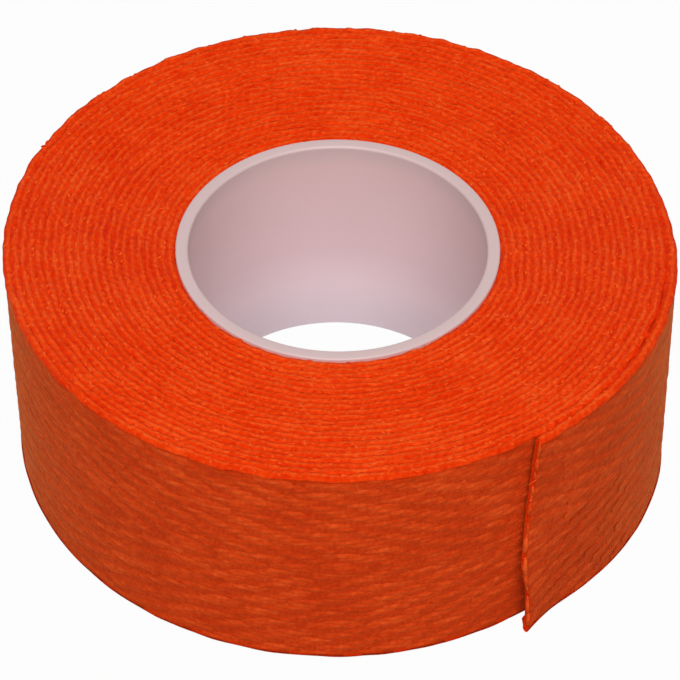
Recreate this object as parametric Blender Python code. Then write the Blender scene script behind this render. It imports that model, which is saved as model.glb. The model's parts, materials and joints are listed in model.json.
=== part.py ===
"""Grip tape roll: a woven tape wound on a plastic core, with its cut end free to peel away.

The roll stands on the lower rim of its core, with the core's axis on +Z and the origin at the bottom.
The tape is one long strip, so the winding is one spiral and not a stack of rings.
"""

import math

import bmesh
import bpy
from mathutils import Vector
from mathutils.geometry import intersect_point_line

# Driving dimensions, in metres and degrees
TAPE_WIDTH = 0.0200
TURNS = 22
ROLL_RADIUS = 0.0270
STRIP_THICKNESS = 0.0002

CORE_RADIUS = 0.01305
CORE_BORE_RADIUS = 0.0120
CORE_LENGTH = 0.0203
CORE_RIM_ROUND = 0.00025

# The winding is dished: its inner turns sit level with the core, its outer turns ride higher.
INNER_TURN_LIFT = 0.0002
OUTER_TURN_LIFT = 0.0012

# The free end runs from the line where it leaves the roll to its cut edge, clockwise seen from above.
PEEL_ANGLE = -18.0
CUT_ANGLE = -58.0
CORNER_FLARE = 0.0008
FLARE_START = 0.75

CLEARANCE = 0.0003

# How finely the round shapes are divided
CORE_STEPS = 72
CORE_RIM_SEGMENTS = 2
POINTS_PER_TURN = 36
FREE_END_STEPS = 20
FREE_END_ROWS = 4

SHARP_ANGLE = math.radians(35)
MILLIMETRES = 1000

first_face_radius = CORE_RADIUS + CLEARANCE
last_face_radius = ROLL_RADIUS - STRIP_THICKNESS
pitch = (last_face_radius - first_face_radius) / TURNS


def clear_scene():
    for thing in list(bpy.data.objects):
        bpy.data.objects.remove(thing, do_unlink=True)


def plain_material(name, colour, roughness):
    material = bpy.data.materials.new(name)
    material.use_nodes = True
    shader = material.node_tree.nodes["Principled BSDF"]
    shader.inputs["Base Color"].default_value = (*colour, 1)
    shader.inputs["Roughness"].default_value = roughness
    shader.inputs["Metallic"].default_value = 0
    return material


def add_object(name, shape, material, parent, location=(0, 0, 0)):
    """Puts a bmesh into the scene as one named, smooth-shaded object."""
    mesh = bpy.data.meshes.new(name)
    shape.to_mesh(mesh)
    shape.free()
    mesh.shade_smooth()
    mesh.set_sharp_from_angle(angle=SHARP_ANGLE)
    mesh.materials.append(material)
    thing = bpy.data.objects.new(name, mesh)
    thing.location = location
    thing.parent = parent
    bpy.context.scene.collection.objects.link(thing)
    return thing


def thicken(strip):
    """Gives an open strip its cloth thickness, outwards from its inner face."""
    solidify = strip.modifiers.new("cloth_thickness", "SOLIDIFY")
    solidify.thickness = STRIP_THICKNESS
    solidify.offset = 1
    solidify.use_even_offset = True
    solidify.use_rim = True


def spiral_radius(angle):
    """Radius of the strip's inner face, with the angle counted back from the peel line, in radians."""
    return last_face_radius - pitch * angle / math.tau


def spiral_lift(radius):
    """Height of the strip's lower edge, which rises from the core to the outer turn."""
    share = (radius - first_face_radius) / (last_face_radius - first_face_radius)
    return INNER_TURN_LIFT + share * (OUTER_TURN_LIFT - INNER_TURN_LIFT)


def polar(radius, angle, height):
    return Vector((radius * math.cos(angle), radius * math.sin(angle), height))


def winding_path():
    """Points of the strip's lower inner edge, from the core out to just short of the peel line."""
    step = math.tau / POINTS_PER_TURN
    peel = math.radians(PEEL_ANGLE)
    count = TURNS * POINTS_PER_TURN
    angles = [step * (count - index) for index in range(count)]
    angles.append(CLEARANCE / last_face_radius)
    path = []
    for angle in angles:
        radius = spiral_radius(angle)
        path.append(polar(radius, peel + angle, spiral_lift(radius)))
    return path


def least_gap(path):
    """Smallest clear distance between one turn and the next, from points to the chords beside them."""
    least = math.inf
    for index, point in enumerate(path):
        low = index + POINTS_PER_TURN - 2
        for start, end in zip(path[low : low + 4], path[low + 1 : low + 5]):
            flat = [Vector((place.x, place.y)) for place in (point, start, end)]
            nearest, share = intersect_point_line(*flat)
            if 0 <= share <= 1:
                least = min(least, (flat[0] - nearest).length - STRIP_THICKNESS)
    return least


def make_core(material, parent):
    """A plain tube, turned from its wall's section, with its rims eased."""
    shape = bmesh.new()
    section = [
        (CORE_RADIUS, CORE_LENGTH),
        (CORE_RADIUS, 0),
        (CORE_BORE_RADIUS, 0),
        (CORE_BORE_RADIUS, CORE_LENGTH),
    ]
    corners = [shape.verts.new((radius, 0, height)) for radius, height in section]
    for start, end in zip(corners, corners[1:] + corners[:1]):
        shape.edges.new((start, end))
    core = add_object("core", shape, material, parent)
    turn = core.modifiers.new("turned_wall", "SCREW")
    turn.axis = "Z"
    turn.angle = math.tau
    turn.steps = CORE_STEPS
    turn.render_steps = CORE_STEPS
    turn.use_merge_vertices = True
    turn.merge_threshold = 0.00001
    turn.use_smooth_shade = True
    ease = core.modifiers.new("eased_rims", "BEVEL")
    ease.width = CORE_RIM_ROUND
    ease.segments = CORE_RIM_SEGMENTS
    ease.limit_method = "ANGLE"
    ease.angle_limit = SHARP_ANGLE
    return core


def make_winding(material, parent):
    """The wound strip: its lower edge follows the spiral and is drawn up by the tape's width."""
    path = winding_path()
    shape = bmesh.new()
    points = [shape.verts.new(place) for place in path]
    edges = [shape.edges.new(pair) for pair in zip(points, points[1:])]
    drawn = bmesh.ops.extrude_edge_only(shape, edges=edges)["geom"]
    upper = [item for item in drawn if isinstance(item, bmesh.types.BMVert)]
    bmesh.ops.translate(shape, verts=upper, vec=(0, 0, TAPE_WIDTH))
    face_outwards(shape)
    winding = add_object("tape_winding", shape, material, parent)
    thicken(winding)
    print(f"tape_winding: {TURNS} turns, {pitch * MILLIMETRES:.3f} mm apart")
    print(f"tape_winding: least gap to itself {least_gap(path) * MILLIMETRES:.3f} mm")
    return winding


def face_outwards(shape):
    """Turns every face of an upright strip away from the roll's axis."""
    shape.normal_update()
    inward = []
    for face in shape.faces:
        middle = face.calc_center_median()
        if face.normal.x * middle.x + face.normal.y * middle.y < 0:
            inward.append(face)
    bmesh.ops.reverse_faces(shape, faces=inward)


def corner_flare(along, across):
    """How far the cut edge stands off the roll: nothing at its upper corner, most at its lower one."""
    share = max(0, (along - FLARE_START) / (1 - FLARE_START))
    return CORNER_FLARE * share**2 * (1 - across) ** 2


def make_free_end(material, parent):
    """The last stretch of the strip, which lies on the roll and swings out about the peel line."""
    peel = math.radians(PEEL_ANGLE)
    sweep = math.radians(CUT_ANGLE - PEEL_ANGLE)
    hinge = polar(last_face_radius, peel, 0)
    shape = bmesh.new()
    rows = []
    for step in range(FREE_END_STEPS + 1):
        along = step / FREE_END_STEPS
        radius = spiral_radius(along * sweep)
        lift = spiral_lift(radius)
        row = []
        for height in range(FREE_END_ROWS + 1):
            across = height / FREE_END_ROWS
            stand_off = radius + corner_flare(along, across)
            place = polar(stand_off, peel + along * sweep, lift + across * TAPE_WIDTH)
            row.append(shape.verts.new(place))
        rows.append(row)
    for near, far in zip(rows, rows[1:]):
        for low in range(FREE_END_ROWS):
            shape.faces.new((near[low], far[low], far[low + 1], near[low + 1]))
    face_outwards(shape)
    bmesh.ops.translate(shape, verts=shape.verts, vec=-hinge)
    free_end = add_object("tape_free_end", shape, material, parent, hinge)
    thicken(free_end)
    print(f"tape_free_end: hinge at {hinge.x:.6f}, {hinge.y:.6f}")
    return free_end


def tape_length():
    """Length of the whole strip along the middle of its real, touching turns."""
    middle = (first_face_radius + last_face_radius) / 2
    return TURNS * math.tau * middle + last_face_radius * math.radians(PEEL_ANGLE - CUT_ANGLE)


def main():
    clear_scene()
    orange_cloth = plain_material("orange_cloth", (0.78, 0.10, 0.02), 0.9)
    white_plastic = plain_material("white_plastic", (0.82, 0.76, 0.76), 0.4)
    roll = bpy.data.objects.new("roll_axis", None)
    bpy.context.scene.collection.objects.link(roll)
    make_core(white_plastic, roll)
    make_winding(orange_cloth, roll)
    make_free_end(orange_cloth.copy(), roll)
    print(f"tape: {tape_length():.3f} m long, {TAPE_WIDTH * MILLIMETRES:.0f} mm wide")


main()
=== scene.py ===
# %% [markdown]
# # A roll of cloth grip tape
#
# The object is one strip of orange herringbone cotton, 20 mm wide and about 2.8 m long, wound on a plain
# plastic tube. Its last two centimetres lie loose on the roll and can be peeled away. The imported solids
# give the sizes and the hinge of that loose end; this lesson dresses them in cloth that is woven thread
# by thread.

# %% Load the frame
import json
import math

import bmesh
import bpy
import numpy as np
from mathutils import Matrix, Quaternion, Vector


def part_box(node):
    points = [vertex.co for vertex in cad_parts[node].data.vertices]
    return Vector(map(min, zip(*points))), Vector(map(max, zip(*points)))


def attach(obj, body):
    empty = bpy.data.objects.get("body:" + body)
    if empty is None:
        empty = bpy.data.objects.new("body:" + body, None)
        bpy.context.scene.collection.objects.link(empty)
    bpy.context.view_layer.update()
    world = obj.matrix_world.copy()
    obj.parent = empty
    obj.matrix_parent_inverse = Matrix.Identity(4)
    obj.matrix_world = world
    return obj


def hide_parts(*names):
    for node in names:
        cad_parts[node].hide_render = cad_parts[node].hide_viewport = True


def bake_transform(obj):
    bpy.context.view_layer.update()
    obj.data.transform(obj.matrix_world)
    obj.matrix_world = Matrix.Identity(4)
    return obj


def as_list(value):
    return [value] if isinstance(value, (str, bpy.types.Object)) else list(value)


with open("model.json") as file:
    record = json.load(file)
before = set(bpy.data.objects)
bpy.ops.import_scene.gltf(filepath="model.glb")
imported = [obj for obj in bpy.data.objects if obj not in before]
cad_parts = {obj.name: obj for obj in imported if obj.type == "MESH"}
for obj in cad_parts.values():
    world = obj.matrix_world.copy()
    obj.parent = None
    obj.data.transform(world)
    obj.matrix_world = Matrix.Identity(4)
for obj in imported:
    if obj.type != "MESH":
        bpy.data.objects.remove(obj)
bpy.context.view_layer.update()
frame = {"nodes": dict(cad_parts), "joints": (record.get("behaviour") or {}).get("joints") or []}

# %% [markdown]
# ## Sizes
#
# A roll of tape is a spiral, so a few numbers say all of it: where the cloth starts on the core, where
# its outer face ends, and how many turns lie between. The solids keep thin, spaced turns, but real turns
# touch. So the cloth's thickness is worked out here as the room between the core and the outer face,
# shared among the layers.

# %% Sizes from the frame
MM = 0.001
TAPE_WIDTH = 20.0 * MM
TURNS = 22
CORE_GAP = 0.13 * MM
FREE_END_SWEEP = math.radians(40)

hinge = Vector(frame["joints"][0]["pos_m"])
peel_angle = math.atan2(hinge.y, hinge.x)

core_low, core_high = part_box("core")
tape_low, tape_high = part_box("tape_winding")
core_radius = core_high.x
roll_radius = max(point.co.xy.length for point in frame["nodes"]["tape_winding"].data.vertices)

pitch = (roll_radius - core_radius - CORE_GAP) / (TURNS + 1)
first_radius = core_radius + CORE_GAP + pitch / 2
peel_radius = roll_radius - pitch / 2
core_lift = tape_low.z
outer_lift = tape_high.z - TAPE_WIDTH


def length_from_peel(radius):
    """Length of tape from the peel line to a radius: negative inside the roll, positive on the free end."""
    return math.pi * (radius**2 - peel_radius**2) / pitch


tape_start = length_from_peel(first_radius)
tape_cut = length_from_peel(peel_radius + pitch * FREE_END_SWEEP / math.tau)
tape_length = tape_cut - tape_start
print(f"cloth {pitch / MM:.3f} mm thick, {tape_length:.3f} m long, free end {tape_cut / MM:.1f} mm")

# %% [markdown]
# ## The camera
#
# The photograph looks down at about 45 degrees from close by with a long lens. The camera is set first,
# because every later choice of detail depends on how large a thread is in the picture: about four pixels
# wide.

# %% Camera
LENS = 171.3
SENSOR_WIDTH = 36
NEAR_CLIP = 10 * MM
ELEVATION = math.radians(44.38)
CAMERA_ROLL = math.radians(0.48)
CAMERA_DISTANCE = 265.0 * MM
camera_target = Vector((0.236, -1.582, 11.2)) * MM

camera_data = bpy.data.cameras.new("camera")
camera_data.lens = LENS
camera_data.sensor_width = SENSOR_WIDTH
camera_data.clip_start = NEAR_CLIP
camera = bpy.data.objects.new("camera", camera_data)
towards_camera = Vector((0, -math.cos(ELEVATION), math.sin(ELEVATION)))
camera.location = camera_target + towards_camera * CAMERA_DISTANCE
camera.rotation_mode = "QUATERNION"
aim = (-towards_camera).to_track_quat("-Z", "Y")
camera.rotation_quaternion = aim @ Quaternion((0, 0, 1), CAMERA_ROLL)
bpy.context.scene.collection.objects.link(camera)
bpy.context.scene.camera = camera
print("camera at", [round(value, 4) for value in camera.location])

# %% [markdown]
# ## Helpers for node trees
#
# The weave is made with Geometry Nodes, and the finishes with shader nodes. A sum in such a tree takes
# many Math nodes, and wiring each by hand hides what is being worked out. So an output is kept here as a
# wire, which adds, multiplies and compares as a number does and puts in the Math node by itself. The
# helpers after it add a node, feed it, and open a tree with named inputs.

# %% Wires
class Wire:
    """An output of a node. A sum that is written with wires adds the Math nodes that work it out."""

    def __init__(self, tree, socket):
        self.tree = tree
        self.socket = socket

    def maths(self, operation, *terms):
        return maths(self.tree, operation, self, *terms)

    def __add__(self, other):
        return self.maths("ADD", other)

    def __sub__(self, other):
        return self.maths("SUBTRACT", other)

    def __rsub__(self, other):
        return maths(self.tree, "SUBTRACT", other, self)

    def __mul__(self, other):
        return self.maths("MULTIPLY", other)

    def __truediv__(self, other):
        return self.maths("DIVIDE", other)

    def __rtruediv__(self, other):
        return maths(self.tree, "DIVIDE", other, self)

    def __mod__(self, other):
        return self.maths("MODULO", other)

    def __pow__(self, other):
        return self.maths("POWER", other)

    def __gt__(self, other):
        return self.maths("GREATER_THAN", other)

    def __lt__(self, other):
        return self.maths("LESS_THAN", other)


def feed(tree, node, feeds):
    """Feeds a node's inputs with numbers, colours or wires."""
    for key, source in feeds.items():
        if isinstance(source, Wire):
            tree.links.new(source.socket, node.inputs[key])
        else:
            node.inputs[key].default_value = source


def add(tree, kind, feeds=None, **settings):
    """Adds a node, sets its properties and feeds its inputs."""
    node = tree.nodes.new(kind)
    for name, value in settings.items():
        setattr(node, name, value)
    feed(tree, node, feeds or {})
    return node


def wires(tree, kind, feeds=None, **settings):
    """Adds a node and returns all its outputs by name."""
    return {socket.name: Wire(tree, socket) for socket in add(tree, kind, feeds, **settings).outputs}


def wire(tree, kind, feeds=None, output=0, **settings):
    """Adds a node and returns one of its outputs."""
    return Wire(tree, add(tree, kind, feeds, **settings).outputs[output])


def maths(tree, operation, *terms):
    return wire(tree, "ShaderNodeMath", dict(enumerate(terms)), operation=operation)


print("sums with wires: + - * / % ** < >")

# %% Trees and common nodes
SOCKET_KINDS = {float: "NodeSocketFloat", int: "NodeSocketInt", tuple: "NodeSocketColor"}


def open_tree(name, kind, inputs, outputs):
    """A new node tree with named inputs and outputs; returns it, its input wires and its output node."""
    tree = bpy.data.node_groups.new(name, kind)
    for label, value in inputs.items():
        socket_kind = SOCKET_KINDS.get(type(value), "NodeSocketMaterial")
        socket = tree.interface.new_socket(label, in_out="INPUT", socket_type=socket_kind)
        if value is not None:
            socket.default_value = value
    for label, socket_kind in outputs.items():
        tree.interface.new_socket(label, in_out="OUTPUT", socket_type=socket_kind)
    return tree, wires(tree, "NodeGroupInput"), add(tree, "NodeGroupOutput")


def combine(tree, **axes):
    """A vector from its X, Y and Z."""
    return wire(tree, "ShaderNodeCombineXYZ", axes)


def noise(tree, place, scale=1.0, detail=2.0, dimensions="3D"):
    """Smooth noise about a half, over a place in space or, in 1D, along a line."""
    feeds = {"W" if dimensions == "1D" else "Vector": place, "Scale": scale, "Detail": detail}
    return wire(tree, "ShaderNodeTexNoise", feeds, noise_dimensions=dimensions)


def remap(tree, value, old, new=(0.0, 1.0), smooth=False):
    """Carries a value from one range to another, and holds it at the ends."""
    feeds = {"Value": value, "From Min": old[0], "From Max": old[1], "To Min": new[0], "To Max": new[1]}
    way = "SMOOTHSTEP" if smooth else "LINEAR"
    return wire(tree, "ShaderNodeMapRange", feeds, interpolation_type=way)


def between(tree, low, high, seed):
    """A random number for each thread, the same on every run."""
    feeds = {2: low, 3: high, "Seed": seed}
    return wire(tree, "FunctionNodeRandomValue", feeds, output=1, data_type="FLOAT")


print("node helpers ready")

# %% [markdown]
# ## A place on the wound tape
#
# Every thread is laid out by two numbers: how far along the strip it is from the peel line, and how high
# up the strip's width. On a spiral of even pitch the radius at a length s is sqrt(R² + pitch · s / π), so
# one node group turns those numbers into a place, a direction along the tape and a direction out of its
# face. Each tree below could work out a spiral of its own, but with one shared group cloth, edge loops
# and twill can't drift apart.
#
# A real roll isn't a perfect spiral. Near the core it becomes a staircase, because the first turns lie
# snug on the tube and climb only where they cross the tape's own beginning. The outer turns sit a little
# off centre, hang lower at the foot and taper in there, and noise lets the edges wander. The last stretch
# has come loose: it stands off the roll, most at its foot, and settles back towards the cut.

# %% Sizes of an uneven roll
EDGE_WANDER = 0.24 * MM
WANDER_LENGTH = 3.5 * MM
OUT_OF_ROUND = 0.22 * MM
LUMP_SCALE = 1.6
OFF_CENTRE = (-0.15 * MM, 0.0, 0.0)
OUTER_SAG = 0.95 * MM
TAPER = 0.20 * MM
EDGE_ROUND = 0.04 * MM
ROUND_WIDTH = 1.3 * MM
STEP_SHARE = 0.03
END_LIFT = 0.36 * MM
LIFT_SPAN = (-15.0 * MM, -1.0 * MM)
BELLY = 1.6
SETTLE_SPAN = (3.0 * MM, 18.0 * MM)
SETTLED = 0.42

place_sizes = {
    "Along": 0.0,
    "Outward": 0.0,
    "Height": 0.0,
    "Peel Radius": peel_radius,
    "First Radius": first_radius,
    "Pitch": pitch,
    "Peel Angle": peel_angle,
    "Core Lift": core_lift,
    "Outer Lift": outer_lift,
    "Edge Wander": EDGE_WANDER,
    "Out Of Round": OUT_OF_ROUND,
    "Edge Round": EDGE_ROUND,
    "End Lift": END_LIFT,
}
place_outputs = {label: "NodeSocketVector" for label in ("Place", "Direction", "Out")}
tape_place, given, result = open_tree("tape_place", "GeometryNodeTree", place_sizes, place_outputs)
print(f"a place on the tape: {len(place_sizes)} inputs, pitch {pitch / MM:.3f} mm")

# %% The spiral, with its first turns snug
along = given["Along"]
radius = (along * (given["Pitch"] / math.pi) + given["Peel Radius"] ** 2.0).maths("SQRT")
drop = given["Peel Radius"] - radius
angle = drop / given["Pitch"] * math.tau + given["Peel Angle"]
cosine = angle.maths("COSINE")
sine = angle.maths("SINE")
out = combine(tape_place, X=cosine, Y=sine)
direction = combine(tape_place, X=sine, Y=cosine * -1.0)
share = 1.0 - drop / (given["Peel Radius"] - given["First Radius"])

turns_on = ((radius - given["First Radius"]) / given["Pitch"]).maths("MAXIMUM", 0.0)
part_turn = turns_on.maths("FRACT")
step = remap(tape_place, part_turn, (1 - STEP_SHARE, 1.0), smooth=True)
fading = (1.0 - share).maths("MAXIMUM", 0.0)
radius = radius + (step - part_turn) * fading * given["Pitch"]
print(f"spiral: {TURNS} turns")

# %% Height and stand-off
lift = share * (given["Outer Lift"] - given["Core Lift"]) + given["Core Lift"]
wander = (noise(tape_place, along, 1 / WANDER_LENGTH, 1.0, "1D") - 0.5) * given["Edge Wander"]
outer_foot = (1.0 - given["Height"] / TAPE_WIDTH) * share
height = given["Height"] + lift + wander - outer_foot * OUTER_SAG

lumps = (noise(tape_place, out, LUMP_SCALE, 1.0) - 0.5) * given["Out Of Round"]
from_middle = (given["Height"] - TAPE_WIDTH / 2).maths("ABSOLUTE")
near_edge = remap(tape_place, from_middle, (TAPE_WIDTH / 2 - ROUND_WIDTH, TAPE_WIDTH / 2))
rounding = near_edge**2.0 * given["Edge Round"]
uneven = (lumps - rounding) * share - outer_foot * TAPER
loosened = remap(tape_place, along, LIFT_SPAN, (0.0, given["End Lift"]), smooth=True)
belly = 1 + BELLY - given["Height"] * (BELLY / TAPE_WIDTH)
settle = remap(tape_place, along, SETTLE_SPAN, (1.0, SETTLED), smooth=True)
reach = radius + (given["Outward"] + uneven + loosened * belly * settle)

flat_place = wire(tape_place, "ShaderNodeVectorMath", {0: out, "Scale": reach}, operation="SCALE")
shift = wire(tape_place, "ShaderNodeVectorMath", {0: OFF_CENTRE, "Scale": share}, operation="SCALE")
shifted = wire(tape_place, "ShaderNodeVectorMath", {0: flat_place, 1: shift}, operation="ADD")
upright = combine(tape_place, Z=height)
spot = wire(tape_place, "ShaderNodeVectorMath", {0: shifted, 1: upright}, operation="ADD")
feed(tape_place, result, {"Place": spot, "Direction": direction, "Out": out})


def place_on_tape(tree, along, outward, height):
    """Adds the group to a tree and returns its place, direction and outward wires."""
    feeds = {"Along": along, "Outward": outward, "Height": height}
    return wires(tree, "GeometryNodeGroup", feeds, node_tree=tape_place)


print(f"tape path: {len(tape_place.nodes)} nodes")

# %% [markdown]
# ## The finish of dyed cotton yarn
#
# Cotton yarn is two plies twisted together, matt, with a haze of short fibres that catches light at a
# grazing angle. Every thread took the dye a little differently. A painted image could show all this, but
# it would blur close up. So one shader group gives the effects to all the cloth: a tone for each thread
# from its own attribute, twist lines that run round it, streaks of fibre along it, fine flecks, and slow
# changes of dye. It also paints light and shade into the colour: a paler crown on each yarn with deeper
# sides and valleys, and a band near the tape's edges where the darker painted-shade face is blended back
# to the bright edge dye. It hands out only a colour and a height; the shader itself, with its sheen, stays
# in each material.

# %% Shader group: threads and fibres
FIBRE_SIZE = 0.07 * MM
FLECK_SIZE = 0.32 * MM
DYE_PATCH = 5.0 * MM
PLY_LINES = 9.0
STREAKS = (0.9, 3.0, 3.0)
EDGE_DYE = (0.83, 0.047, 0.0024, 1.0)

yarn_inputs = {
    "Deep Dye": (0.66, 0.012, 0.0003, 1.0),
    "Dye": EDGE_DYE,
    "Pale Dye": (0.92, 0.120, 0.018, 1.0),
    "Tone": 0.5,
    "Thread Contrast": 0.4,
    "Painted Crown Light": 0.3,
    "Painted Edge Light Share": 0.0,
    "Streaks": 0.0,
}
yarn_outputs = {"Colour": "NodeSocketColor", "Height": "NodeSocketFloat"}
dyed_yarn, given, result = open_tree("dyed_yarn", "ShaderNodeTree", yarn_inputs, yarn_outputs)

position = wires(dyed_yarn, "ShaderNodeTexCoord")["Object"]
fibres = noise(dyed_yarn, position, 1 / FIBRE_SIZE)
flecks = noise(dyed_yarn, position, 1 / FLECK_SIZE, 1.0)
patches = noise(dyed_yarn, position, 1 / DYE_PATCH)
thread_tone = wires(dyed_yarn, "ShaderNodeAttribute", attribute_name="shade")["Fac"]
on_yarn = wires(dyed_yarn, "ShaderNodeAttribute", attribute_name="yarn")["Vector"]
yarn_axes = wires(dyed_yarn, "ShaderNodeSeparateXYZ", {0: on_yarn})
round_yarn = yarn_axes["Z"].maths("ARCTAN2", yarn_axes["Y"])
twist = (yarn_axes["X"] * PLY_LINES + round_yarn).maths("SINE")
streak_place = wire(dyed_yarn, "ShaderNodeMapping", {"Vector": on_yarn, "Scale": STREAKS})
streaks = noise(dyed_yarn, streak_place)
print(f"yarn: fibres of {FIBRE_SIZE / MM:.2f} mm, dye patches of {DYE_PATCH / MM:.0f} mm")

# %% Shader group: from tone to colour
FIBRE_TONE = 0.70
FLECK_TONE = 0.70
PATCH_TONE = 0.40
TWIST_TONE = 0.05
PAINTED_CROWN_FROM = 0.55
TWIST_RELIEF = 0.2
FIBRE_RELIEF = 0.5
PAINTED_EDGE_LIGHT_WIDTH = 1.1 * MM


def mix(tree, share, first, second, way="MIX"):
    """Mixes two colours: 6, 7 and 2 are where the Mix node keeps its colour sockets."""
    feeds = {0: share, 6: first, 7: second}
    return wire(tree, "ShaderNodeMix", feeds, output=2, data_type="RGBA", blend_type=way)


effects = (
    (thread_tone, given["Thread Contrast"]),
    (streaks, given["Streaks"]),
    (fibres, FIBRE_TONE),
    (flecks, FLECK_TONE),
    (patches, PATCH_TONE),
)
tone = given["Tone"]
for effect, weight in effects:
    tone = (effect - 0.5) * weight + tone
# Painted light and shade: the crown of each yarn, high in its own round, is made paler, and its sides and
# the valleys between cords deeper, as light from above would make them.
painted_crown_light = remap(dyed_yarn, yarn_axes["Z"], (PAINTED_CROWN_FROM, 1.0), (-0.5, 0.5), smooth=True)
tone = tone + twist * TWIST_TONE + painted_crown_light * given["Painted Crown Light"]
body_colour = mix(dyed_yarn, remap(dyed_yarn, tone, (0.0, 0.5)), given["Deep Dye"], given["Dye"])
yarn_colour = mix(dyed_yarn, remap(dyed_yarn, tone, (0.5, 1.0)), body_colour, given["Pale Dye"])

# Painted light: within a band at each edge of the tape, the face's darker painted-shade colour is blended
# back to the bright edge dye, for the light caught where the top rounds over into the wall.
half_width = (TAPE_WIDTH + OUTER_SAG) / 2
middle_height = outer_lift - OUTER_SAG + half_width
height = wires(dyed_yarn, "ShaderNodeSeparateXYZ", {0: position})["Z"]
off_middle = (height - middle_height).maths("ABSOLUTE")
painted_edge_light_band = remap(dyed_yarn, off_middle, (half_width - PAINTED_EDGE_LIGHT_WIDTH, half_width), smooth=True)
yarn_colour = mix(dyed_yarn, painted_edge_light_band * given["Painted Edge Light Share"], yarn_colour, EDGE_DYE)
yarn_height = twist * TWIST_RELIEF + (fibres * FIBRE_RELIEF + streaks)
feed(dyed_yarn, result, {"Colour": yarn_colour, "Height": yarn_height})
print(f"dyed yarn: {len(dyed_yarn.nodes)} nodes, {len(effects)} effects on its tone")

# %% Cotton materials
COTTON_ROUGHNESS = 0.6
SHEEN_ROUGHNESS = 0.35
SHINE_TINT = (1.0, 0.45, 0.12, 1.0)
SHEEN_TINT = (1.0, 0.55, 0.12, 1.0)
ACROSS_FIBRES = 0.25


def cloth_finish(name, yarn_values, gloss=0.0, sheen=0.0, relief=0.03 * MM):
    """A cotton material with its own values for the yarn group's inputs."""
    material = bpy.data.materials.new(name)
    material.use_nodes = True
    tree = material.node_tree
    yarn = wires(tree, "ShaderNodeGroup", yarn_values, node_tree=dyed_yarn)
    bump_feeds = {"Height": yarn["Height"], "Strength": 1.0, "Distance": relief}
    looks = {
        "Base Color": yarn["Colour"],
        "Normal": wire(tree, "ShaderNodeBump", bump_feeds),
        "Roughness": COTTON_ROUGHNESS,
        "Specular IOR Level": gloss,
        "Specular Tint": SHINE_TINT,
        "Sheen Weight": sheen,
        "Sheen Roughness": SHEEN_ROUGHNESS,
        "Sheen Tint": SHEEN_TINT,
    }
    feed(tree, tree.nodes["Principled BSDF"], looks)
    return material


def comb_fibres(material):
    """Spreads a material's shine across its fibres, which run round the roll with the tape."""
    tree = material.node_tree
    round_roll = wire(tree, "ShaderNodeTangent", direction_type="RADIAL", axis="Z")
    looks = {"Tangent": round_roll, "Anisotropic": 1.0, "Anisotropic Rotation": ACROSS_FIBRES}
    feed(tree, tree.nodes["Principled BSDF"], looks)


# The face's dyes are darker and browner than the edge dye: painted shade for the side wall, which gets less
# light than the top, and a painted sheen haze.
shaded_face_dyes = {
    "Deep Dye": (0.54, 0.031, 0.0036, 1.0),
    "Dye": (0.73, 0.059, 0.0076, 1.0),
    "Pale Dye": (0.91, 0.118, 0.0210, 1.0),
    "Painted Edge Light Share": 0.6,
}
plain = {"Thread Contrast": 0.0, "Painted Crown Light": 0.0}
face_shine = {"gloss": 0.02, "sheen": 0.28}
cord_tones = {"Tone": 0.50, "Thread Contrast": 0.75, "Painted Crown Light": 0.24, "Streaks": 0.6}
loop_tones = {"Tone": 0.68, "Thread Contrast": 0.50, "Painted Crown Light": 0.10}
warp_tones = {**shaded_face_dyes, "Tone": 0.52, "Thread Contrast": 0.36, "Painted Crown Light": 0.24}
frayed_tones = {**shaded_face_dyes, "Tone": 0.78, "Thread Contrast": 0.40}
# The ground cloth and weft floats take low tones and the warp floats a high one: painted shade in the
# recessed valleys between the twill ribs.
ground_cloth = cloth_finish("ground_cloth", {**shaded_face_dyes, **plain, "Tone": 0.22}, **face_shine)
edge_ground = cloth_finish("edge_ground", {**plain, "Tone": 0.42})
cord_yarn = cloth_finish("cord_yarn", cord_tones, gloss=0.16, relief=0.08 * MM)
comb_fibres(cord_yarn)
loop_yarn = cloth_finish("loop_yarn", loop_tones, gloss=0.05)
warp_yarn = cloth_finish("warp_yarn", warp_tones, **face_shine)
weft_yarn = cloth_finish("weft_yarn", {**shaded_face_dyes, **plain, "Tone": 0.26}, **face_shine)
frayed_yarn = cloth_finish("frayed_yarn", frayed_tones, sheen=0.06)
finishes = (ground_cloth, edge_ground, cord_yarn, loop_yarn, warp_yarn, weft_yarn, frayed_yarn)
print("cloth finishes:", [finish.name for finish in finishes])

# %% [markdown]
# ## The strip itself
#
# The cloth is one unbroken ribbon. It could be a curve with a bevel, but a grid that is wrapped onto the
# spiral keeps rows across the width, which the free end needs when it is cut crooked and bent. A node
# tree lays the grid, and a Solidify modifier gives it the thickness of the cloth. The winding and the
# free end are two runs of the same tree: the seam between them lies a little before the hinge, so that
# nothing tears when the end is peeled.

# %% Geometry tree: the strip
strip_inputs = {
    "From": 0.0,
    "To": 0.1,
    "Stations": 100,
    "Rows": 2,
    "Outward": 0.0,
    "Low Edge": 0.0,
    "Width": TAPE_WIDTH,
    "Material": None,
}
geometry_output = {"Geometry": "NodeSocketGeometry"}


def long_grid(tree, given):
    """A grid with the length of tape at each of its points, and their share of the way across it."""
    grid_sizes = {"Vertices X": given["Stations"], "Vertices Y": given["Rows"]}
    grid = wire(tree, "GeometryNodeMeshGrid", grid_sizes)
    index = wire(tree, "GeometryNodeInputIndex")
    share_along = (index / given["Rows"]).maths("FLOOR") / (given["Stations"] - 1.0)
    share_across = (index % given["Rows"]) / (given["Rows"] - 1.0)
    return grid, share_along * (given["To"] - given["From"]) + given["From"], share_across


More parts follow.
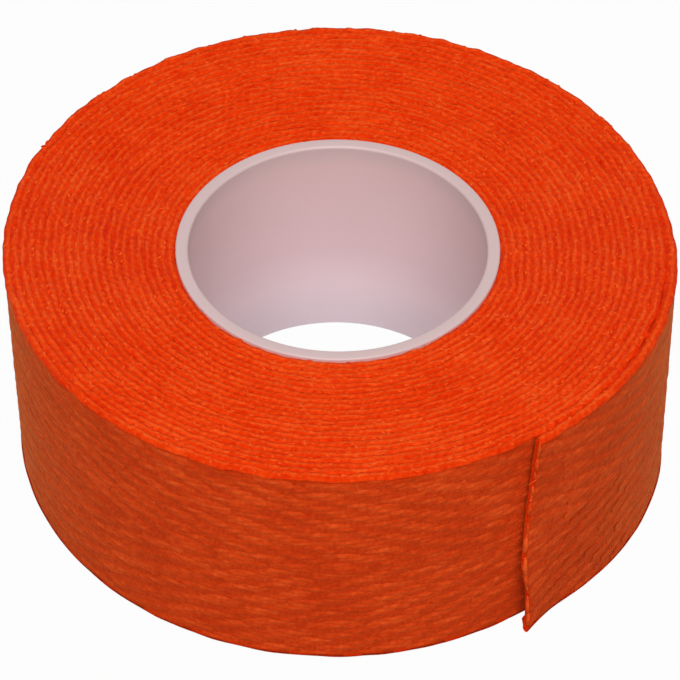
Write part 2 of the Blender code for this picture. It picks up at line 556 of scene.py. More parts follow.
def end_tree(tree, result, geometry, material):
    """Ends a tree as one smooth mesh with its material."""
    smooth = wire(tree, "GeometryNodeSetShadeSmooth", {"Geometry": geometry})
    whole = wire(tree, "GeometryNodeRealizeInstances", {"Geometry": smooth})
    finished = wire(tree, "GeometryNodeSetMaterial", {"Geometry": whole, "Material": material})
    feed(tree, result, {"Geometry": finished})


strip_tree, given, result = open_tree("wound_strip", "GeometryNodeTree", strip_inputs, geometry_output)
grid, along, share_across = long_grid(strip_tree, given)
share_up = (share_across * math.pi).maths("COSINE") * -0.5 + 0.5
up = share_up * given["Width"] + given["Low Edge"]
spot = place_on_tape(strip_tree, along, given["Outward"], up)["Place"]
wrapped = wire(strip_tree, "GeometryNodeSetPosition", {"Geometry": grid, "Position": spot})
outside = wire(strip_tree, "GeometryNodeFlipFaces", {"Mesh": wrapped})
end_tree(strip_tree, result, outside, given["Material"])
print(f"strip tree: {len(strip_tree.nodes)} nodes")

# %% Grow the strip in two runs
EDGE_SOFTEN = 0.12 * MM
SOFTEN_ANGLE = math.radians(50)
EDGE_FACING = 0.6
FACE_RISE = 0.10 * MM
TURN_GAP = 0.01 * MM
SEAM = -1.5 * MM
TUCK = 2.4 * MM
EDGE_DROP = 0.22 * MM


def grow(name, tree, sizes, thickness=None):
    """Runs a node tree with the given sizes and keeps the result as a plain mesh object at the origin."""
    piece = bpy.data.objects.new(name, bpy.data.meshes.new(name))
    bpy.context.scene.collection.objects.link(piece)
    modifier = piece.modifiers.new("grow", "NODES")
    modifier.node_group = tree
    for socket in tree.interface.items_tree:
        if socket.in_out == "INPUT" and socket.name in sizes:
            modifier[socket.identifier] = sizes[socket.name]
    if thickness:
        solidify = piece.modifiers.new("cloth_thickness", "SOLIDIFY")
        solidify.thickness = thickness
        solidify.offset = -1
        solidify.use_even_offset = True
        soften = piece.modifiers.new("soft_edges", "BEVEL")
        soften.width = EDGE_SOFTEN
        soften.segments = 2
        soften.limit_method = "ANGLE"
        soften.angle_limit = SOFTEN_ANGLE
    graph = bpy.context.evaluated_depsgraph_get()
    mesh = bpy.data.meshes.new_from_object(piece.evaluated_get(graph))
    piece.modifiers.clear()
    piece.data = mesh
    mesh.name = name
    mesh.calc_loop_triangles()
    print(f"{name}: {len(mesh.loop_triangles)} triangles")
    return piece


def dye_edges_and_paint_cut_light(strip):
    """Gives the narrow edges of a strip the redder dye of the edge loops, and its cut end the same bright
    red as painted bounce light in the shade beside the cut.
    """
    strip.data.materials.append(edge_ground)
    edge_index = len(strip.data.materials) - 1
    for face in strip.data.polygons:
        outward = face.center.xy.normalized()
        if abs(face.normal.xy.dot(outward)) < EDGE_FACING:
            face.material_index = edge_index


ground_outward = pitch / 2 - FACE_RISE
ground_thickness = pitch - TURN_GAP
ground_sizes = {
    "Outward": ground_outward,
    "Low Edge": EDGE_DROP,
    "Width": TAPE_WIDTH - 2 * EDGE_DROP,
    "Material": ground_cloth,
}
roll_run = {"From": tape_start - TUCK, "To": SEAM}
free_run = {"From": SEAM, "To": tape_cut}
winding_sizes = {**roll_run, **ground_sizes, "Stations": 2400, "Rows": 9}
wound_strip = grow("wound_strip", strip_tree, winding_sizes, ground_thickness)
free_sizes = {**free_run, **ground_sizes, "Stations": 64, "Rows": 21}
free_strip = grow("free_strip", strip_tree, free_sizes, ground_thickness)
for strip in (wound_strip, free_strip):
    dye_edges_and_paint_cut_light(strip)

# %% [markdown]
# ## The cords along the woven edges
#
# At each edge of the tape the weft turns back in small loops. They lie so close that the flat side of the
# roll shows one soft cord for each turn, swollen and slanted by the loops in it. Single loops alone would
# look like pebbles, so the cord is grown whole: a long grid, domed across the cloth's thickness, that
# swells with slow noise. Its lips dip down to meet the next turn, which keeps the valleys red and soft.
# The inner lip reaches further, to close the slot beside the roll, and on the free end it fades towards
# the cut.

# %% Geometry tree: edge cords
LIP_REACH = 0.28
LIP_WIDTH = 0.09 * MM
INNER_LIP = 0.34 * MM
LIP_DROP = 0.20 * MM
INNER_DROP = 0.28 * MM
LIP_FADE = 7.0 * MM
LOOP_LENGTH = 1.2 * MM
WOBBLE_LENGTH = 2.2 * MM
TWIST_LENGTH = 1.07 * MM
SHADE_LEVEL = 7.0
SHADE_SCALE = 1.1
cord_inputs = {
    "From": 0.0,
    "To": 0.1,
    "Stations": 100,
    "Rows": 9,
    "Height": TAPE_WIDTH,
    "Facing": 1.0,
    "Outward": 0.0,
    "Dome": 0.10 * MM,
    "Swell": 0.28 * MM,
    "Wobble": 0.32 * MM,
    "Lean": 0.9,
    "Fade": 0.01 * MM,
    "Material": None,
}


def remember(tree, geometry, name, value, kind="FLOAT", domain="POINT"):
    """Keeps a value with each point or copy, where the finish can read it."""
    feeds = {"Geometry": geometry, "Name": name, "Value": value}
    return wire(tree, "GeometryNodeStoreNamedAttribute", feeds, data_type=kind, domain=domain)


cord_tree, given, result = open_tree("edge_cord", "GeometryNodeTree", cord_inputs, geometry_output)
grid, along, share_across = long_grid(cord_tree, given)
side = share_across * (2 + 2 * LIP_REACH) + (-1 - LIP_REACH)
side_on_dome = side.maths("MINIMUM", 1.0).maths("MAXIMUM", -1.0)
lip = (side - side_on_dome) / LIP_REACH

slanted = side_on_dome * given["Lean"] + along / LOOP_LENGTH
swell_place = combine(cord_tree, X=slanted, Y=side_on_dome)
swell = (noise(cord_tree, swell_place) - 0.5) * given["Swell"]
shade_place = combine(cord_tree, X=slanted, Y=side_on_dome, Z=SHADE_LEVEL)
shade = noise(cord_tree, shade_place, SHADE_SCALE)
wobble = (noise(cord_tree, along / WOBBLE_LENGTH, 1.0, 1.0, "1D") - 0.5) * given["Wobble"]

to_end = (given["To"] - along) / given["Fade"]
inner_lip = (lip * given["Facing"]).maths("MINIMUM", 0.0) * to_end.maths("MINIMUM", 1.0)
across = (lip * LIP_WIDTH + side_on_dome * (pitch / 2)) * given["Facing"] + wobble
outward = inner_lip * INNER_LIP + across + given["Outward"]
dome = side_on_dome**2.0 * given["Dome"]
sunk = lip.maths("ABSOLUTE") * LIP_DROP + dome - inner_lip * INNER_DROP
height = (swell - sunk) * given["Facing"] + given["Height"]
spot = place_on_tape(cord_tree, along, outward, height)["Place"]
wrapped = wire(cord_tree, "GeometryNodeSetPosition", {"Geometry": grid, "Position": spot})

# The yarn's Z, one on the crest and nought at the lips, drives the painted crown light in the finish.
quarter = side_on_dome * (math.pi / 2)
yarn = combine(cord_tree, X=along / TWIST_LENGTH, Y=quarter.maths("SINE"), Z=quarter.maths("COSINE"))
marked = remember(cord_tree, wrapped, "yarn", yarn, "FLOAT_VECTOR")
toned = remember(cord_tree, marked, "shade", shade)
end_tree(cord_tree, result, toned, given["Material"])
print(f"cord tree: {len(cord_tree.nodes)} nodes")

# %% Grow the cords
CORD_INSET = -0.03 * MM
CORD_MARGIN = 0.04 * MM
upper_cord = {"Height": TAPE_WIDTH - CORD_MARGIN, "Outward": CORD_INSET, "Material": cord_yarn}
lower_cord = {**upper_cord, "Height": CORD_MARGIN, "Facing": -1.0}
lower_cord.update({"Swell": 0.06 * MM, "Wobble": 0.04 * MM})
free_cord = {**free_run, **upper_cord, "Fade": LIP_FADE}
roll_upper_cord = grow("roll_upper_cord", cord_tree, {**roll_run, **upper_cord, "Stations": 12000})
roll_lower_cord = grow("roll_lower_cord", cord_tree, {**roll_run, **lower_cord, "Stations": 5000})
free_upper_cord = grow("free_upper_cord", cord_tree, {**free_cord, "Stations": 96})
free_lower_cord = grow("free_lower_cord", cord_tree, {**free_run, **lower_cord, "Stations": 96})

# %% [markdown]
# ## Loops that stand proud
#
# All along the upper edge loops rise to about the cord's surface, and those that stand above it catch the
# light as short bright dashes. They could be painted on, but a bump of real height also breaks the cord's
# outline and shades its neighbours. So each is a plump grain of yarn, one every half millimetre or so,
# with its own lean, size and tone.

# %% Grains of yarn
GRAIN_SEGMENTS = 6
GRAIN_RINGS = 4
SHADE_SEED = 11.0


def seeds_from(given, count):
    """A seed for each kind of random draw in a tree, counted up from the tree's own."""
    return [given["Seed"] + float(step) for step in range(count)]


def yarn_grain(tree, length, thickness, rise):
    """A short plump piece of yarn along X, which remembers where each point was round it."""
    ball_sizes = {"Segments": GRAIN_SEGMENTS, "Rings": GRAIN_RINGS, "Radius": 1.0}
    ball = wire(tree, "GeometryNodeMeshUVSphere", ball_sizes)
    turned = {"Geometry": ball, "Rotation": (0.0, math.pi / 2, 0.0)}
    lying = wire(tree, "GeometryNodeTransform", turned)
    spot = wire(tree, "GeometryNodeInputPosition")
    marked = remember(tree, lying, "yarn", spot, "FLOAT_VECTOR")
    stretch = combine(tree, X=length * 0.5, Y=thickness * 0.5, Z=rise * 0.5)
    return wire(tree, "GeometryNodeTransform", {"Geometry": marked, "Scale": stretch})


def set_grains(tree, given, result, **setting):
    """Puts a grain on each point, as the setting says, gives it a tone, and ends the tree."""
    grains = wire(tree, "GeometryNodeInstanceOnPoints", setting)
    shade = between(tree, 0.0, 1.0, given["Seed"] + SHADE_SEED)
    toned = remember(tree, grains, "shade", shade, domain="INSTANCE")
    end_tree(tree, result, toned, given["Material"])


def facing_along(tree, direction, normal, **lean):
    """A rotation with X along the tape and Z out of the cloth, then leant by angles in its own axes."""
    axes = {"Primary Axis": direction, "Secondary Axis": normal}
    straight = wire(tree, "FunctionNodeAxesToRotation", axes, primary_axis="X", secondary_axis="Z")
    leant = wire(tree, "FunctionNodeEulerToRotation", {"Euler": combine(tree, **lean)})
    turn = {"Rotation": straight, "Rotate By": leant}
    return wire(tree, "FunctionNodeRotateRotation", turn, rotation_space="LOCAL")


print(f"grain: a ball of {GRAIN_SEGMENTS * GRAIN_RINGS} faces")

# %% Geometry tree: edge loops
LOOP_STRAY = 0.24 * MM
LOOP_HEIGHTS = (-0.08 * MM, 0.04 * MM)
LOOP_NOD = 0.12
LOOP_SWING = 0.7
LOOP_LENGTHS = (0.82, 1.25)
LOOP_GIRTHS = (0.85, 1.2)
LOOP_DEPTH = 0.10 * MM
LOOP_STOP = 0.4 * MM
loop_inputs = {
    "From": 0.0,
    "To": 0.1,
    "Spacing": 0.58 * MM,
    "Height": TAPE_WIDTH,
    "Length": 0.46 * MM,
    "Thickness": 0.22 * MM,
    "Rise": 0.11 * MM,
    "Lean": -0.34,
    "Outward": 0.0,
    "Seed": 0,
    "Material": None,
}
loop_tree, given, result = open_tree("edge_loops", "GeometryNodeTree", loop_inputs, geometry_output)
seeds = seeds_from(given, 7)
count = ((given["To"] - given["From"]) / given["Spacing"]).maths("FLOOR")
index = wire(loop_tree, "GeometryNodeInputIndex")
along = (index + between(loop_tree, 0.0, 1.0, seeds[0])) * given["Spacing"] + given["From"]
sideways = given["Outward"] + between(loop_tree, -LOOP_STRAY, LOOP_STRAY, seeds[1])
higher = given["Height"] + between(loop_tree, *LOOP_HEIGHTS, seeds[2])
on_tape = place_on_tape(loop_tree, along, sideways, higher)
points = wire(loop_tree, "GeometryNodePoints", {"Count": count, "Position": on_tape["Place"]})
swing = given["Lean"] + between(loop_tree, -LOOP_SWING, LOOP_SWING, seeds[3])
nod = between(loop_tree, -LOOP_NOD, LOOP_NOD, seeds[4])
facing = facing_along(loop_tree, on_tape["Direction"], (0.0, 0.0, 1.0), Y=nod, Z=swing)
girth = between(loop_tree, *LOOP_GIRTHS, seeds[6])
size = combine(loop_tree, X=between(loop_tree, *LOOP_LENGTHS, seeds[5]), Y=girth, Z=girth)
grain = yarn_grain(loop_tree, given["Length"], given["Thickness"], given["Rise"])
set_grains(loop_tree, given, result, Points=points, Instance=grain, Rotation=facing, Scale=size)

proud_loops = {"Height": TAPE_WIDTH - LOOP_DEPTH, "Outward": CORD_INSET, "Seed": 20, "Material": loop_yarn}
roll_loops = grow("roll_loops", loop_tree, {**roll_run, **proud_loops})
free_loops = grow("free_loops", loop_tree, {**free_run, **proud_loops, "To": tape_cut - LOOP_STOP})

# %% [markdown]
# ## The herringbone face
#
# A herringbone is a twill that changes hands at mid-width: each warp yarn floats over two wefts and dives
# under the next two, one weft later than its neighbour, so the floats line up in slanting ribs. A bump
# map could draw the ribs, but real floats catch the light and break the outline. Their rule is a single
# line of arithmetic: a float's place along the tape is the pick length times (4 · row + distance from the
# middle yarn). Only the last turn shows its face, so only that turn and the free end are woven. The same
# tree lays the weft floats, as short wide pillows in the valleys between the ribs.

# %% A soft float
CURVE = 1 / (2 * peel_radius)
PILLOW = {"Size X": 2.0, "Size Y": 2.0, "Vertices X": 7, "Vertices Y": 5}


def soft_float(tree, length, thickness, rise):
    """A low pillow of yarn along X that fades into the cloth round it and follows the roll's curve."""
    grid = wire(tree, "GeometryNodeMeshGrid", PILLOW)
    spot = wire(tree, "GeometryNodeInputPosition")
    axes = wires(tree, "ShaderNodeSeparateXYZ", {0: spot})
    waves = [(axes[label] * (math.pi / 2)).maths("COSINE") for label in "XY"]
    humps = [wave * wave for wave in waves]
    raised = combine(tree, X=axes["X"], Y=axes["Y"], Z=humps[0] * humps[1])
    marked = remember(tree, grid, "yarn", raised, "FLOAT_VECTOR")
    lifted = wire(tree, "GeometryNodeSetPosition", {"Geometry": marked, "Position": raised})
    stretch = combine(tree, X=length * 0.5, Y=thickness * 0.5, Z=rise)
    full = wire(tree, "GeometryNodeTransform", {"Geometry": lifted, "Scale": stretch})
    sag = combine(tree, Z=axes["X"] * axes["X"] * -CURVE)
    return wire(tree, "GeometryNodeSetPosition", {"Geometry": full, "Offset": sag})


print("float: a pillow of 24 faces")

# %% Geometry tree: twill floats
WARPS = 56
PICK = 1.05 * MM
REPEAT = 4.0
SPARE_ROWS = 3.0
PICK_STRAY = 0.38
WARP_PLACES = (0.42, 0.58)
FLOAT_SINK = 0.012 * MM
APEX = 0.6
APEX_RISE = 0.02 * MM
EDGE_SLACK = 0.1
FLOAT_LEAN = 0.06
FLOAT_LENGTHS = (0.75, 1.2)
twill_inputs = {
    "From": 0.0,
    "To": 0.1,
    "Warps": WARPS,
    "Pick": PICK,
    "Phase": 0.0,
    "Aside": 0.0,
    "Edge Margin": 0.0,
    "Outward": 0.0,
    "Length": 3.6 * MM,
    "Thickness": 0.62 * MM,
    "Rise": 0.05 * MM,
    "Seed": 0,
    "Material": None,
}
twill_tree, given, result = open_tree("twill_floats", "GeometryNodeTree", twill_inputs, geometry_output)
seeds = seeds_from(given, 5)
repeat = given["Pick"] * REPEAT
spread = (given["Warps"] / (2 * REPEAT)).maths("CEIL")
rows = ((given["To"] - given["From"]) / repeat).maths("CEIL") + spread + SPARE_ROWS
first_row = (given["From"] / repeat).maths("FLOOR") - spread - 1.0
index = wire(twill_tree, "GeometryNodeInputIndex")
warp = index % given["Warps"]
row = (index / given["Warps"]).maths("FLOOR")
middle = given["Warps"] * 0.5 - 0.5
from_middle = warp - middle
off_middle = from_middle.maths("ABSOLUTE")
picks = (row + first_row) * REPEAT + (off_middle + given["Phase"])
along = (picks + between(twill_tree, -PICK_STRAY, PICK_STRAY, seeds[0])) * given["Pick"]
aside = from_middle.maths("SIGN") * given["Aside"] + warp
up = (aside + between(twill_tree, *WARP_PLACES, seeds[1])) * (TAPE_WIDTH / given["Warps"])
sunk = given["Outward"] + between(twill_tree, -FLOAT_SINK, 0.0, seeds[2])
on_tape = place_on_tape(twill_tree, along, sunk + (off_middle < APEX) * APEX_RISE, up)
point_feeds = {"Count": rows * given["Warps"], "Position": on_tape["Place"]}
points = wire(twill_tree, "GeometryNodePoints", point_feeds)
inside = (along > given["From"]) * (along < given["To"])
inside = inside * (off_middle < middle - given["Edge Margin"] + EDGE_SLACK)
swing = between(twill_tree, -FLOAT_LEAN, FLOAT_LEAN, seeds[3])
facing = facing_along(twill_tree, on_tape["Direction"], on_tape["Out"], Z=swing)
size = combine(twill_tree, X=between(twill_tree, *FLOAT_LENGTHS, seeds[4]), Y=1.0, Z=1.0)
grain = soft_float(twill_tree, given["Length"], given["Thickness"], given["Rise"])
setting = {"Points": points, "Instance": grain, "Rotation": facing, "Scale": size, "Selection": inside}
set_grains(twill_tree, given, result, **setting)
print(f"twill tree: {len(twill_tree.nodes)} nodes, {WARPS} warps")

# %% Weave the outer turn and the free end
FLOAT_ROOT = 0.006 * MM
WEFT_RISE = 0.030 * MM
TURN_OVERLAP = 3 * MM
outer_turn = SEAM - math.tau * (peel_radius - pitch / 2) - TURN_OVERLAP
face_run = {"From": outer_turn, "To": SEAM}
float_base = ground_outward - FLOAT_ROOT
warp_float = {
    "Outward": float_base,
    "Rise": FACE_RISE + FLOAT_ROOT,
    "Edge Margin": 1.0,
    "Seed": 60,
    "Material": warp_yarn,
}
weft_float = {
    "Outward": float_base,
    "Rise": WEFT_RISE,
    "Phase": 2.5,
    "Aside": 0.5,
    "Edge Margin": 2.0,
    "Length": 1.3 * MM,
    "Thickness": 1.2 * MM,
    "Seed": 80,
    "Material": weft_yarn,
}
roll_warp_floats = grow("roll_warp_floats", twill_tree, {**face_run, **warp_float})
roll_weft_floats = grow("roll_weft_floats", twill_tree, {**face_run, **weft_float})
free_warp_floats = grow("free_warp_floats", twill_tree, {**free_run, **warp_float})
free_weft_floats = grow("free_weft_floats", twill_tree, {**free_run, **weft_float})

# %% [markdown]
# ## The cut end
#
# The tape was torn or snipped by hand. Its edge runs crooked and bows forward below mid-width, the last
# weft has come partly loose, the warp ends stand out as short tips, and the lower corner has turned out
# from the roll. A hair system could give loose ends, but these yarns are few and thick. So one more tree
# grows them along the cut, each rooted in the cloth, and then all the pieces of the free end are bent
# together by one function of place.

# %% Geometry tree: frayed yarns
FRAY_PLACES = (0.1, 0.9)
FRAY_NOD = (-0.12, 0.06)
FRAY_LENGTHS = (0.5, 1.4)
FRAY_GIRTHS = (0.6, 1.2)
fray_inputs = {
    "Count": 40,
    "Low": 0.0,
    "High": 1.0,
    "Along": 0.0,
    "Stray": 0.2 * MM,
    "Outward": pitch / 2,
    "Sunk": 0.2 * MM,
    "Length": 1.0 * MM,
    "Thickness": 0.2 * MM,
    "Turn": 0.0,
    "Turn Stray": 0.3,
    "Seed": 0,
    "Material": None,
}
fray_tree, given, result = open_tree("frayed_yarns", "GeometryNodeTree", fray_inputs, geometry_output)
seeds = seeds_from(given, 7)
index = wire(fray_tree, "GeometryNodeInputIndex")
along = given["Along"] + between(fray_tree, -1.0, 1.0, seeds[0]) * given["Stray"]
share_up = (index + between(fray_tree, *FRAY_PLACES, seeds[1])) / given["Count"]
up = (share_up * (given["High"] - given["Low"]) + given["Low"]) * TAPE_WIDTH
outward = given["Outward"] - between(fray_tree, 0.0, 1.0, seeds[2]) * given["Sunk"]
on_tape = place_on_tape(fray_tree, along, outward, up)
point_feeds = {"Count": given["Count"], "Position": on_tape["Place"]}
points = wire(fray_tree, "GeometryNodePoints", point_feeds)
swing = given["Turn"] + between(fray_tree, -1.0, 1.0, seeds[3]) * given["Turn Stray"]
nod = between(fray_tree, *FRAY_NOD, seeds[4])
facing = facing_along(fray_tree, on_tape["Direction"], on_tape["Out"], Y=nod, Z=swing)
girth = between(fray_tree, *FRAY_GIRTHS, seeds[6])
size = combine(fray_tree, X=between(fray_tree, *FRAY_LENGTHS, seeds[5]), Y=girth, Z=girth)
grain = yarn_grain(fray_tree, given["Length"], given["Thickness"], given["Thickness"])
set_grains(fray_tree, given, result, Points=points, Instance=grain, Rotation=facing, Scale=size)
print(f"fray tree: {len(fray_tree.nodes)} nodes")

# %% Fray the cut edge
FRAY_ROOT = 0.10 * MM
WEFT_LOOSE = 0.05 * MM
cut_edge = {"Along": tape_cut - FRAY_ROOT, "Outward": ground_outward, "Material": frayed_yarn}
frayed_band = {**cut_edge, "Low": 0.06, "High": 0.97, "Stray": 0.05 * MM}
loose_weft = {
    **frayed_band,
    "Outward": ground_outward + WEFT_LOOSE,
    "Count": 15,
    "Length": 1.6 * MM,
    "Thickness": 0.42 * MM,
    "Sunk": 0.24 * MM,
    "Turn": math.pi / 2,
    "Turn Stray": 0.05,
    "Seed": 100,
}
warp_tips = {
    **frayed_band,
    "Count": 12,
    "Length": 0.30 * MM,
    "Thickness": 0.22 * MM,
    "Sunk": 0.30 * MM,
    "Turn Stray": 0.6,
    "Seed": 120,
}
stray_thread = {
    **cut_edge,
    "Count": 1,
    "Low": 0.80,
    "High": 0.80,
    "Stray": 0.0,
    "Length": 2.8 * MM,
    "Thickness": 0.17 * MM,
    "Sunk": 0.0,
    "Turn Stray": 0.0,
    "Seed": 140,
}
free_loose_weft = grow("free_loose_weft", fray_tree, loose_weft)
free_warp_tips = grow("free_warp_tips", fray_tree, warp_tips)
free_stray_thread = grow("free_stray_thread", fray_tree, stray_thread)

# %% Bend the free end into shape
CORNER_FLARE = 0.95 * MM
UPPER_FLARE = 0.20 * MM
FLARE_START = 0.75
FLARE_LIMIT = 1.2
CUT_RIPPLE = 0.04 * MM
COARSE_RIPPLE = 23.0
FINE_RIPPLE = 51.0
FINE_SHARE = 0.6
CUT_SHARES = (0.0, 0.02, 0.07, 0.18, 0.27, 0.35, 0.49, 0.58, 0.69, 0.76, 0.90, 1.0)
CUT_AHEAD = (-0.44, -0.64, -0.72, -0.76, -0.52, -0.34, -0.44, -0.58, -0.70, -0.80, -1.06, -1.12)
woven_cloth = [free_strip, free_upper_cord, free_lower_cord, free_loops]
woven_pieces = woven_cloth + [free_warp_floats, free_weft_floats]
frayed_pieces = [free_loose_weft, free_warp_tips, free_stray_thread]
free_end_pieces = woven_pieces + frayed_pieces


def cut_line(up):
    """How far the cut runs ahead of a square one at a share of the tape's width, 0 at its lower edge."""
    ripple = np.sin(up * COARSE_RIPPLE) + FINE_SHARE * np.sin(up * FINE_RIPPLE + 1.0)
    return np.interp(up, CUT_SHARES, CUT_AHEAD) * MM + CUT_RIPPLE * ripple


def shape_free_end(piece):
    """Trims a piece of the free end at the cut, bows the cut edge and turns its lower corner out."""
    mesh = piece.data
    flat = np.empty(len(mesh.vertices) * 3, np.float32)
    mesh.vertices.foreach_get("co", flat)
    points = flat.reshape(-1, 3).astype(float)
    reach = np.hypot(points[:, 0], points[:, 1])
    turn = np.arctan2(points[:, 1], points[:, 0])
    along = (peel_angle - turn) / FREE_END_SWEEP
    if piece in woven_pieces:
        along = np.minimum(along, 1.0)
        turn = peel_angle - along * FREE_END_SWEEP
    up = np.clip((points[:, 2] - outer_lift + OUTER_SAG) / (TAPE_WIDTH + OUTER_SAG), 0, 1)
    ahead = cut_line(up) * np.clip(along, 0, 1) ** 2
    share = np.clip((along - FLARE_START) / (1 - FLARE_START), 0, FLARE_LIMIT)
    reach = reach + share**2 * (CORNER_FLARE * (1 - up) ** 2 + UPPER_FLARE * up**2)
    turn = turn - ahead / peel_radius
    points[:, 0] = reach * np.cos(turn)
    points[:, 1] = reach * np.sin(turn)
    mesh.vertices.foreach_set("co", points.astype(np.float32).ravel())
    mesh.update()


for piece in free_end_pieces:
    shape_free_end(piece)
print(f"free end: {len(free_end_pieces)} pieces bent, corner {CORNER_FLARE / MM:.1f} mm out")

# %% [markdown]
# ## The core
#
# The core is a length of extruded white plastic tube, sawn square, with its edges just eased. It could be
# a cylinder with a hole cut through it, but it is a turned shape, so its wall is drawn once as a section
# with small arcs at the rims and spun round the axis. Its colour is painted with light by height: a pink
# cast painted for the glow of orange light from the cloth round it, palest at the foot as painted light
# from the floor, and darkest at the top rim.

# %% Turn the core
CORE_STEPS = 160
INNER_EASE = 0.26 * MM
FOOT_EASE = 0.12 * MM
OUTER_EASE = 0.16 * MM
ARC_STEPS = 5
MERGE_DISTANCE = 0.001 * MM
SHARP_ANGLE = math.radians(40)
bore_radius = min(point.co.xy.length for point in frame["nodes"]["core"].data.vertices)


def eased_corner(radius, height, ease_across, ease_up):
    """Points of a quarter arc round a corner of the wall's section, from its side to its rim."""
    arc = []
    for step in range(ARC_STEPS + 1):
        quarter = math.pi / 2 * step / ARC_STEPS
        across = ease_across * (1 - math.cos(quarter))
        upward = ease_up * (1 - math.sin(quarter))
        arc.append((radius + across, height + upward))
    return arc


def turned_core(name):
    """The wall's section, spun round the axis into a closed tube."""
    low, high = core_low.z, core_high.z
    outer_top = eased_corner(core_radius, high, -OUTER_EASE, -OUTER_EASE)
    inner_top = eased_corner(bore_radius, high, INNER_EASE, -INNER_EASE)[::-1]
    inner_foot = eased_corner(bore_radius, low, FOOT_EASE, FOOT_EASE)
    outer_foot = eased_corner(core_radius, low, -OUTER_EASE, OUTER_EASE)[::-1]
    section = outer_top + inner_top + inner_foot + outer_foot
    shape = bmesh.new()
    corners = [shape.verts.new((radius, 0, height)) for radius, height in section]
    edges = [shape.edges.new(pair) for pair in zip(corners, corners[1:] + corners[:1])]
    spin = {"cent": (0, 0, 0), "axis": (0, 0, 1), "angle": math.tau, "steps": CORE_STEPS}
    bmesh.ops.spin(shape, geom=corners + edges, **spin)
    bmesh.ops.remove_doubles(shape, verts=shape.verts, dist=MERGE_DISTANCE)
    bmesh.ops.recalc_face_normals(shape, faces=shape.faces)
    mesh = bpy.data.meshes.new(name)
    shape.to_mesh(mesh)
    shape.free()
    mesh.shade_smooth()
    mesh.set_sharp_from_angle(angle=SHARP_ANGLE)
    piece = bpy.data.objects.new(name, mesh)
    bpy.context.scene.collection.objects.link(piece)
    return piece


core_tube = turned_core("core_tube")
print(f"core_tube: {len(core_tube.data.polygons)} faces, bore {2 * bore_radius / MM:.1f} mm across")

# %% Finish of the core
CLOUD_SCALE = 120.0
CLOUDS = (0.96, 1.03)
SCUFF_SCALE = (4200.0, 4200.0, 260.0)
SCUFF_ROUGHNESS = (0.32, 0.50)
SCUFF_DEPTH = 0.02 * MM
SCUFF_STRENGTH = 0.12
# Painted light by height up the tube: palest at the foot as painted light from the floor, a pink cast up
# the wall painted for the orange cloth's glow, and darkest at the top rim.
PAINTED_LIGHT_BANDS = (
    (0.0, (0.98, 0.84, 0.90)),
    (0.25, (0.96, 0.77, 0.82)),
    (0.45, (0.86, 0.64, 0.66)),
    (0.9, (0.76, 0.53, 0.53)),
    (1.0, (0.62, 0.46, 0.45)),
)
core_plastic = bpy.data.materials.new("core_plastic")
core_plastic.use_nodes = True
tree = core_plastic.node_tree
position = wires(tree, "ShaderNodeTexCoord")["Object"]
height = wires(tree, "ShaderNodeSeparateXYZ", {0: position})["Z"]
ramp = add(tree, "ShaderNodeValToRGB", {0: remap(tree, height, (0.0, core_high.z))})
while len(ramp.color_ramp.elements) < len(PAINTED_LIGHT_BANDS):
    ramp.color_ramp.elements.new(0.5)
for stop, (share, colour) in zip(ramp.color_ramp.elements, PAINTED_LIGHT_BANDS):
    stop.position = share
    stop.color = (*colour, 1.0)
clouds = remap(tree, noise(tree, position, CLOUD_SCALE), (0.0, 1.0), CLOUDS)
scuff_place = wire(tree, "ShaderNodeMapping", {"Vector": position, "Scale": SCUFF_SCALE})
scuffs = noise(tree, scuff_place, 1.0, 3.0)
bump_feeds = {"Height": scuffs, "Strength": SCUFF_STRENGTH, "Distance": SCUFF_DEPTH}
core_looks = {
    "Base Color": mix(tree, 1.0, Wire(tree, ramp.outputs[0]), clouds, "MULTIPLY"),
    "Roughness": remap(tree, scuffs, (0.0, 1.0), SCUFF_ROUGHNESS),
    "Normal": wire(tree, "ShaderNodeBump", bump_feeds),
}
feed(tree, tree.nodes["Principled BSDF"], core_looks)
core_tube.data.materials.append(core_plastic)
# The pink cast and the pale foot of the ramp are painted light, not the plastic's own tint.
print("core finish: satin, warmed by the cloth round it")

# %% [markdown]
# ## Floor and light
#
# The roll lies on a white sweep under a broad soft light. A floor lit until it is white would also light
# the roll too much from below. So the floor looks plain white to the camera but still takes a faint
# shadow, and it is only a mid grey to the light that bounces, which keeps the wall of the roll darker
# than its top.

# %% Floor
FLOOR_SIZE = 3.0
FLOOR_DROP = 0.02 * MM
FLOOR_GREY = (0.36, 0.36, 0.36, 1.0)
FLOOR_WHITE_SHARE = 0.97
WHITE = (1.0, 1.0, 1.0, 1.0)


def seen_directly(tree):
    """One where a ray comes from the camera, a mirror or glass, and nought where it is bounced light."""
    path = wires(tree, "ShaderNodeLightPath")
    seen = path["Is Camera Ray"].maths("MAXIMUM", path["Is Glossy Ray"])
    return seen.maths("MAXIMUM", path["Is Transmission Ray"])


floor_shape = bmesh.new()
bmesh.ops.create_grid(floor_shape, x_segments=1, y_segments=1, size=FLOOR_SIZE)
floor_mesh = bpy.data.meshes.new("floor")
floor_shape.to_mesh(floor_mesh)
floor_shape.free()
floor = bpy.data.objects.new("floor", floor_mesh)
floor.location.z = -FLOOR_DROP
bpy.context.scene.collection.objects.link(floor)
white_sweep = bpy.data.materials.new("white_sweep")
white_sweep.use_nodes = True
tree = white_sweep.node_tree
shader = tree.nodes["Principled BSDF"]
feed(tree, shader, {"Base Color": FLOOR_GREY, "Roughness": 0.9, "Specular IOR Level": 0.0})
plain_white = wire(tree, "ShaderNodeEmission", {"Color": WHITE, "Strength": 1.0})
white_share = seen_directly(tree) * FLOOR_WHITE_SHARE
sweep_feeds = {0: white_share, 1: Wire(tree, shader.outputs[0]), 2: plain_white}
sweep = wire(tree, "ShaderNodeMixShader", sweep_feeds)
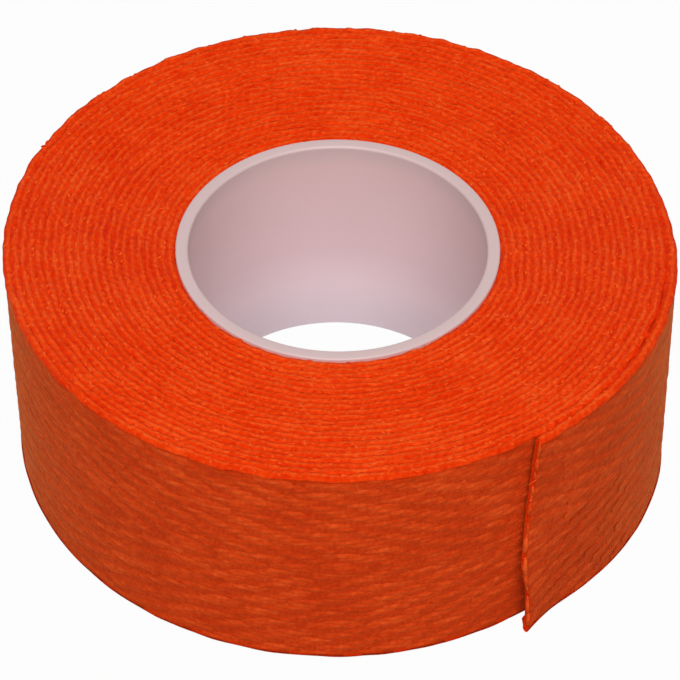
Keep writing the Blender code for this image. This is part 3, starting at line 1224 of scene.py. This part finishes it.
feed(tree, tree.nodes["Material Output"], {"Surface": sweep})
floor.data.materials.append(white_sweep)
print(f"floor: {2 * FLOOR_SIZE:.0f} m across, {FLOOR_WHITE_SHARE:.0%} white to the camera")

# %% World and lamp
WORLD_LIGHT = 0.34
LAMP_TARGET = Vector((0, 0, 10 * MM))

world = bpy.data.worlds.new("studio")
world.use_nodes = True
bpy.context.scene.world = world
tree = world.node_tree
strength = remap(tree, seen_directly(tree), (0.0, 1.0), (WORLD_LIGHT, 1.0))
feed(tree, tree.nodes["Background"], {"Color": WHITE, "Strength": strength})


def softbox(name, place, size, power):
    """A square lamp that faces the roll."""
    lamp = bpy.data.lights.new(name, "AREA")
    lamp.size = size
    lamp.energy = power
    holder = bpy.data.objects.new(name, lamp)
    holder.location = place
    towards = LAMP_TARGET - Vector(place)
    holder.rotation_mode = "QUATERNION"
    holder.rotation_quaternion = towards.to_track_quat("-Z", "Y")
    bpy.context.scene.collection.objects.link(holder)
    print(f"{name}: {size:.2f} m across, {power:.2f} W")


softbox("front_light", place=(0.0, -0.35, 0.55), size=0.50, power=3.7)
bpy.context.scene.view_settings.view_transform = "Standard"

# %% [markdown]
# ## Put the roll's pieces on its body
#
# The imported model has two bodies: the roll, and the free end that swings on the peel line. The cloth of
# the winding and the core ride on the roll. The free end could ride on its own body, but then it would
# fold at a sharp line. So here its pieces ride on no body: they stay at rest with their transforms baked
# in, and the imported solids are hidden.

# %% Bodies and sheet sizes
edge_yarns = [roll_upper_cord, roll_lower_cord, roll_loops]
roll_pieces = [wound_strip, *edge_yarns, roll_warp_floats, roll_weft_floats]
for piece in [core_tube, *roll_pieces]:
    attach(piece, "roll")
for piece in free_end_pieces:
    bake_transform(piece)
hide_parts("core")
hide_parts("tape_winding")
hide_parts("tape_free_end")
wound_flat = (TAPE_WIDTH, SEAM - tape_start)
free_flat = (TAPE_WIDTH, tape_cut - SEAM)
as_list(roll_pieces[1:])
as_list(free_end_pieces[1:])
print(f"sheets: {wound_flat[1]:.3f} m wound, {free_flat[1] / MM:.1f} mm free")
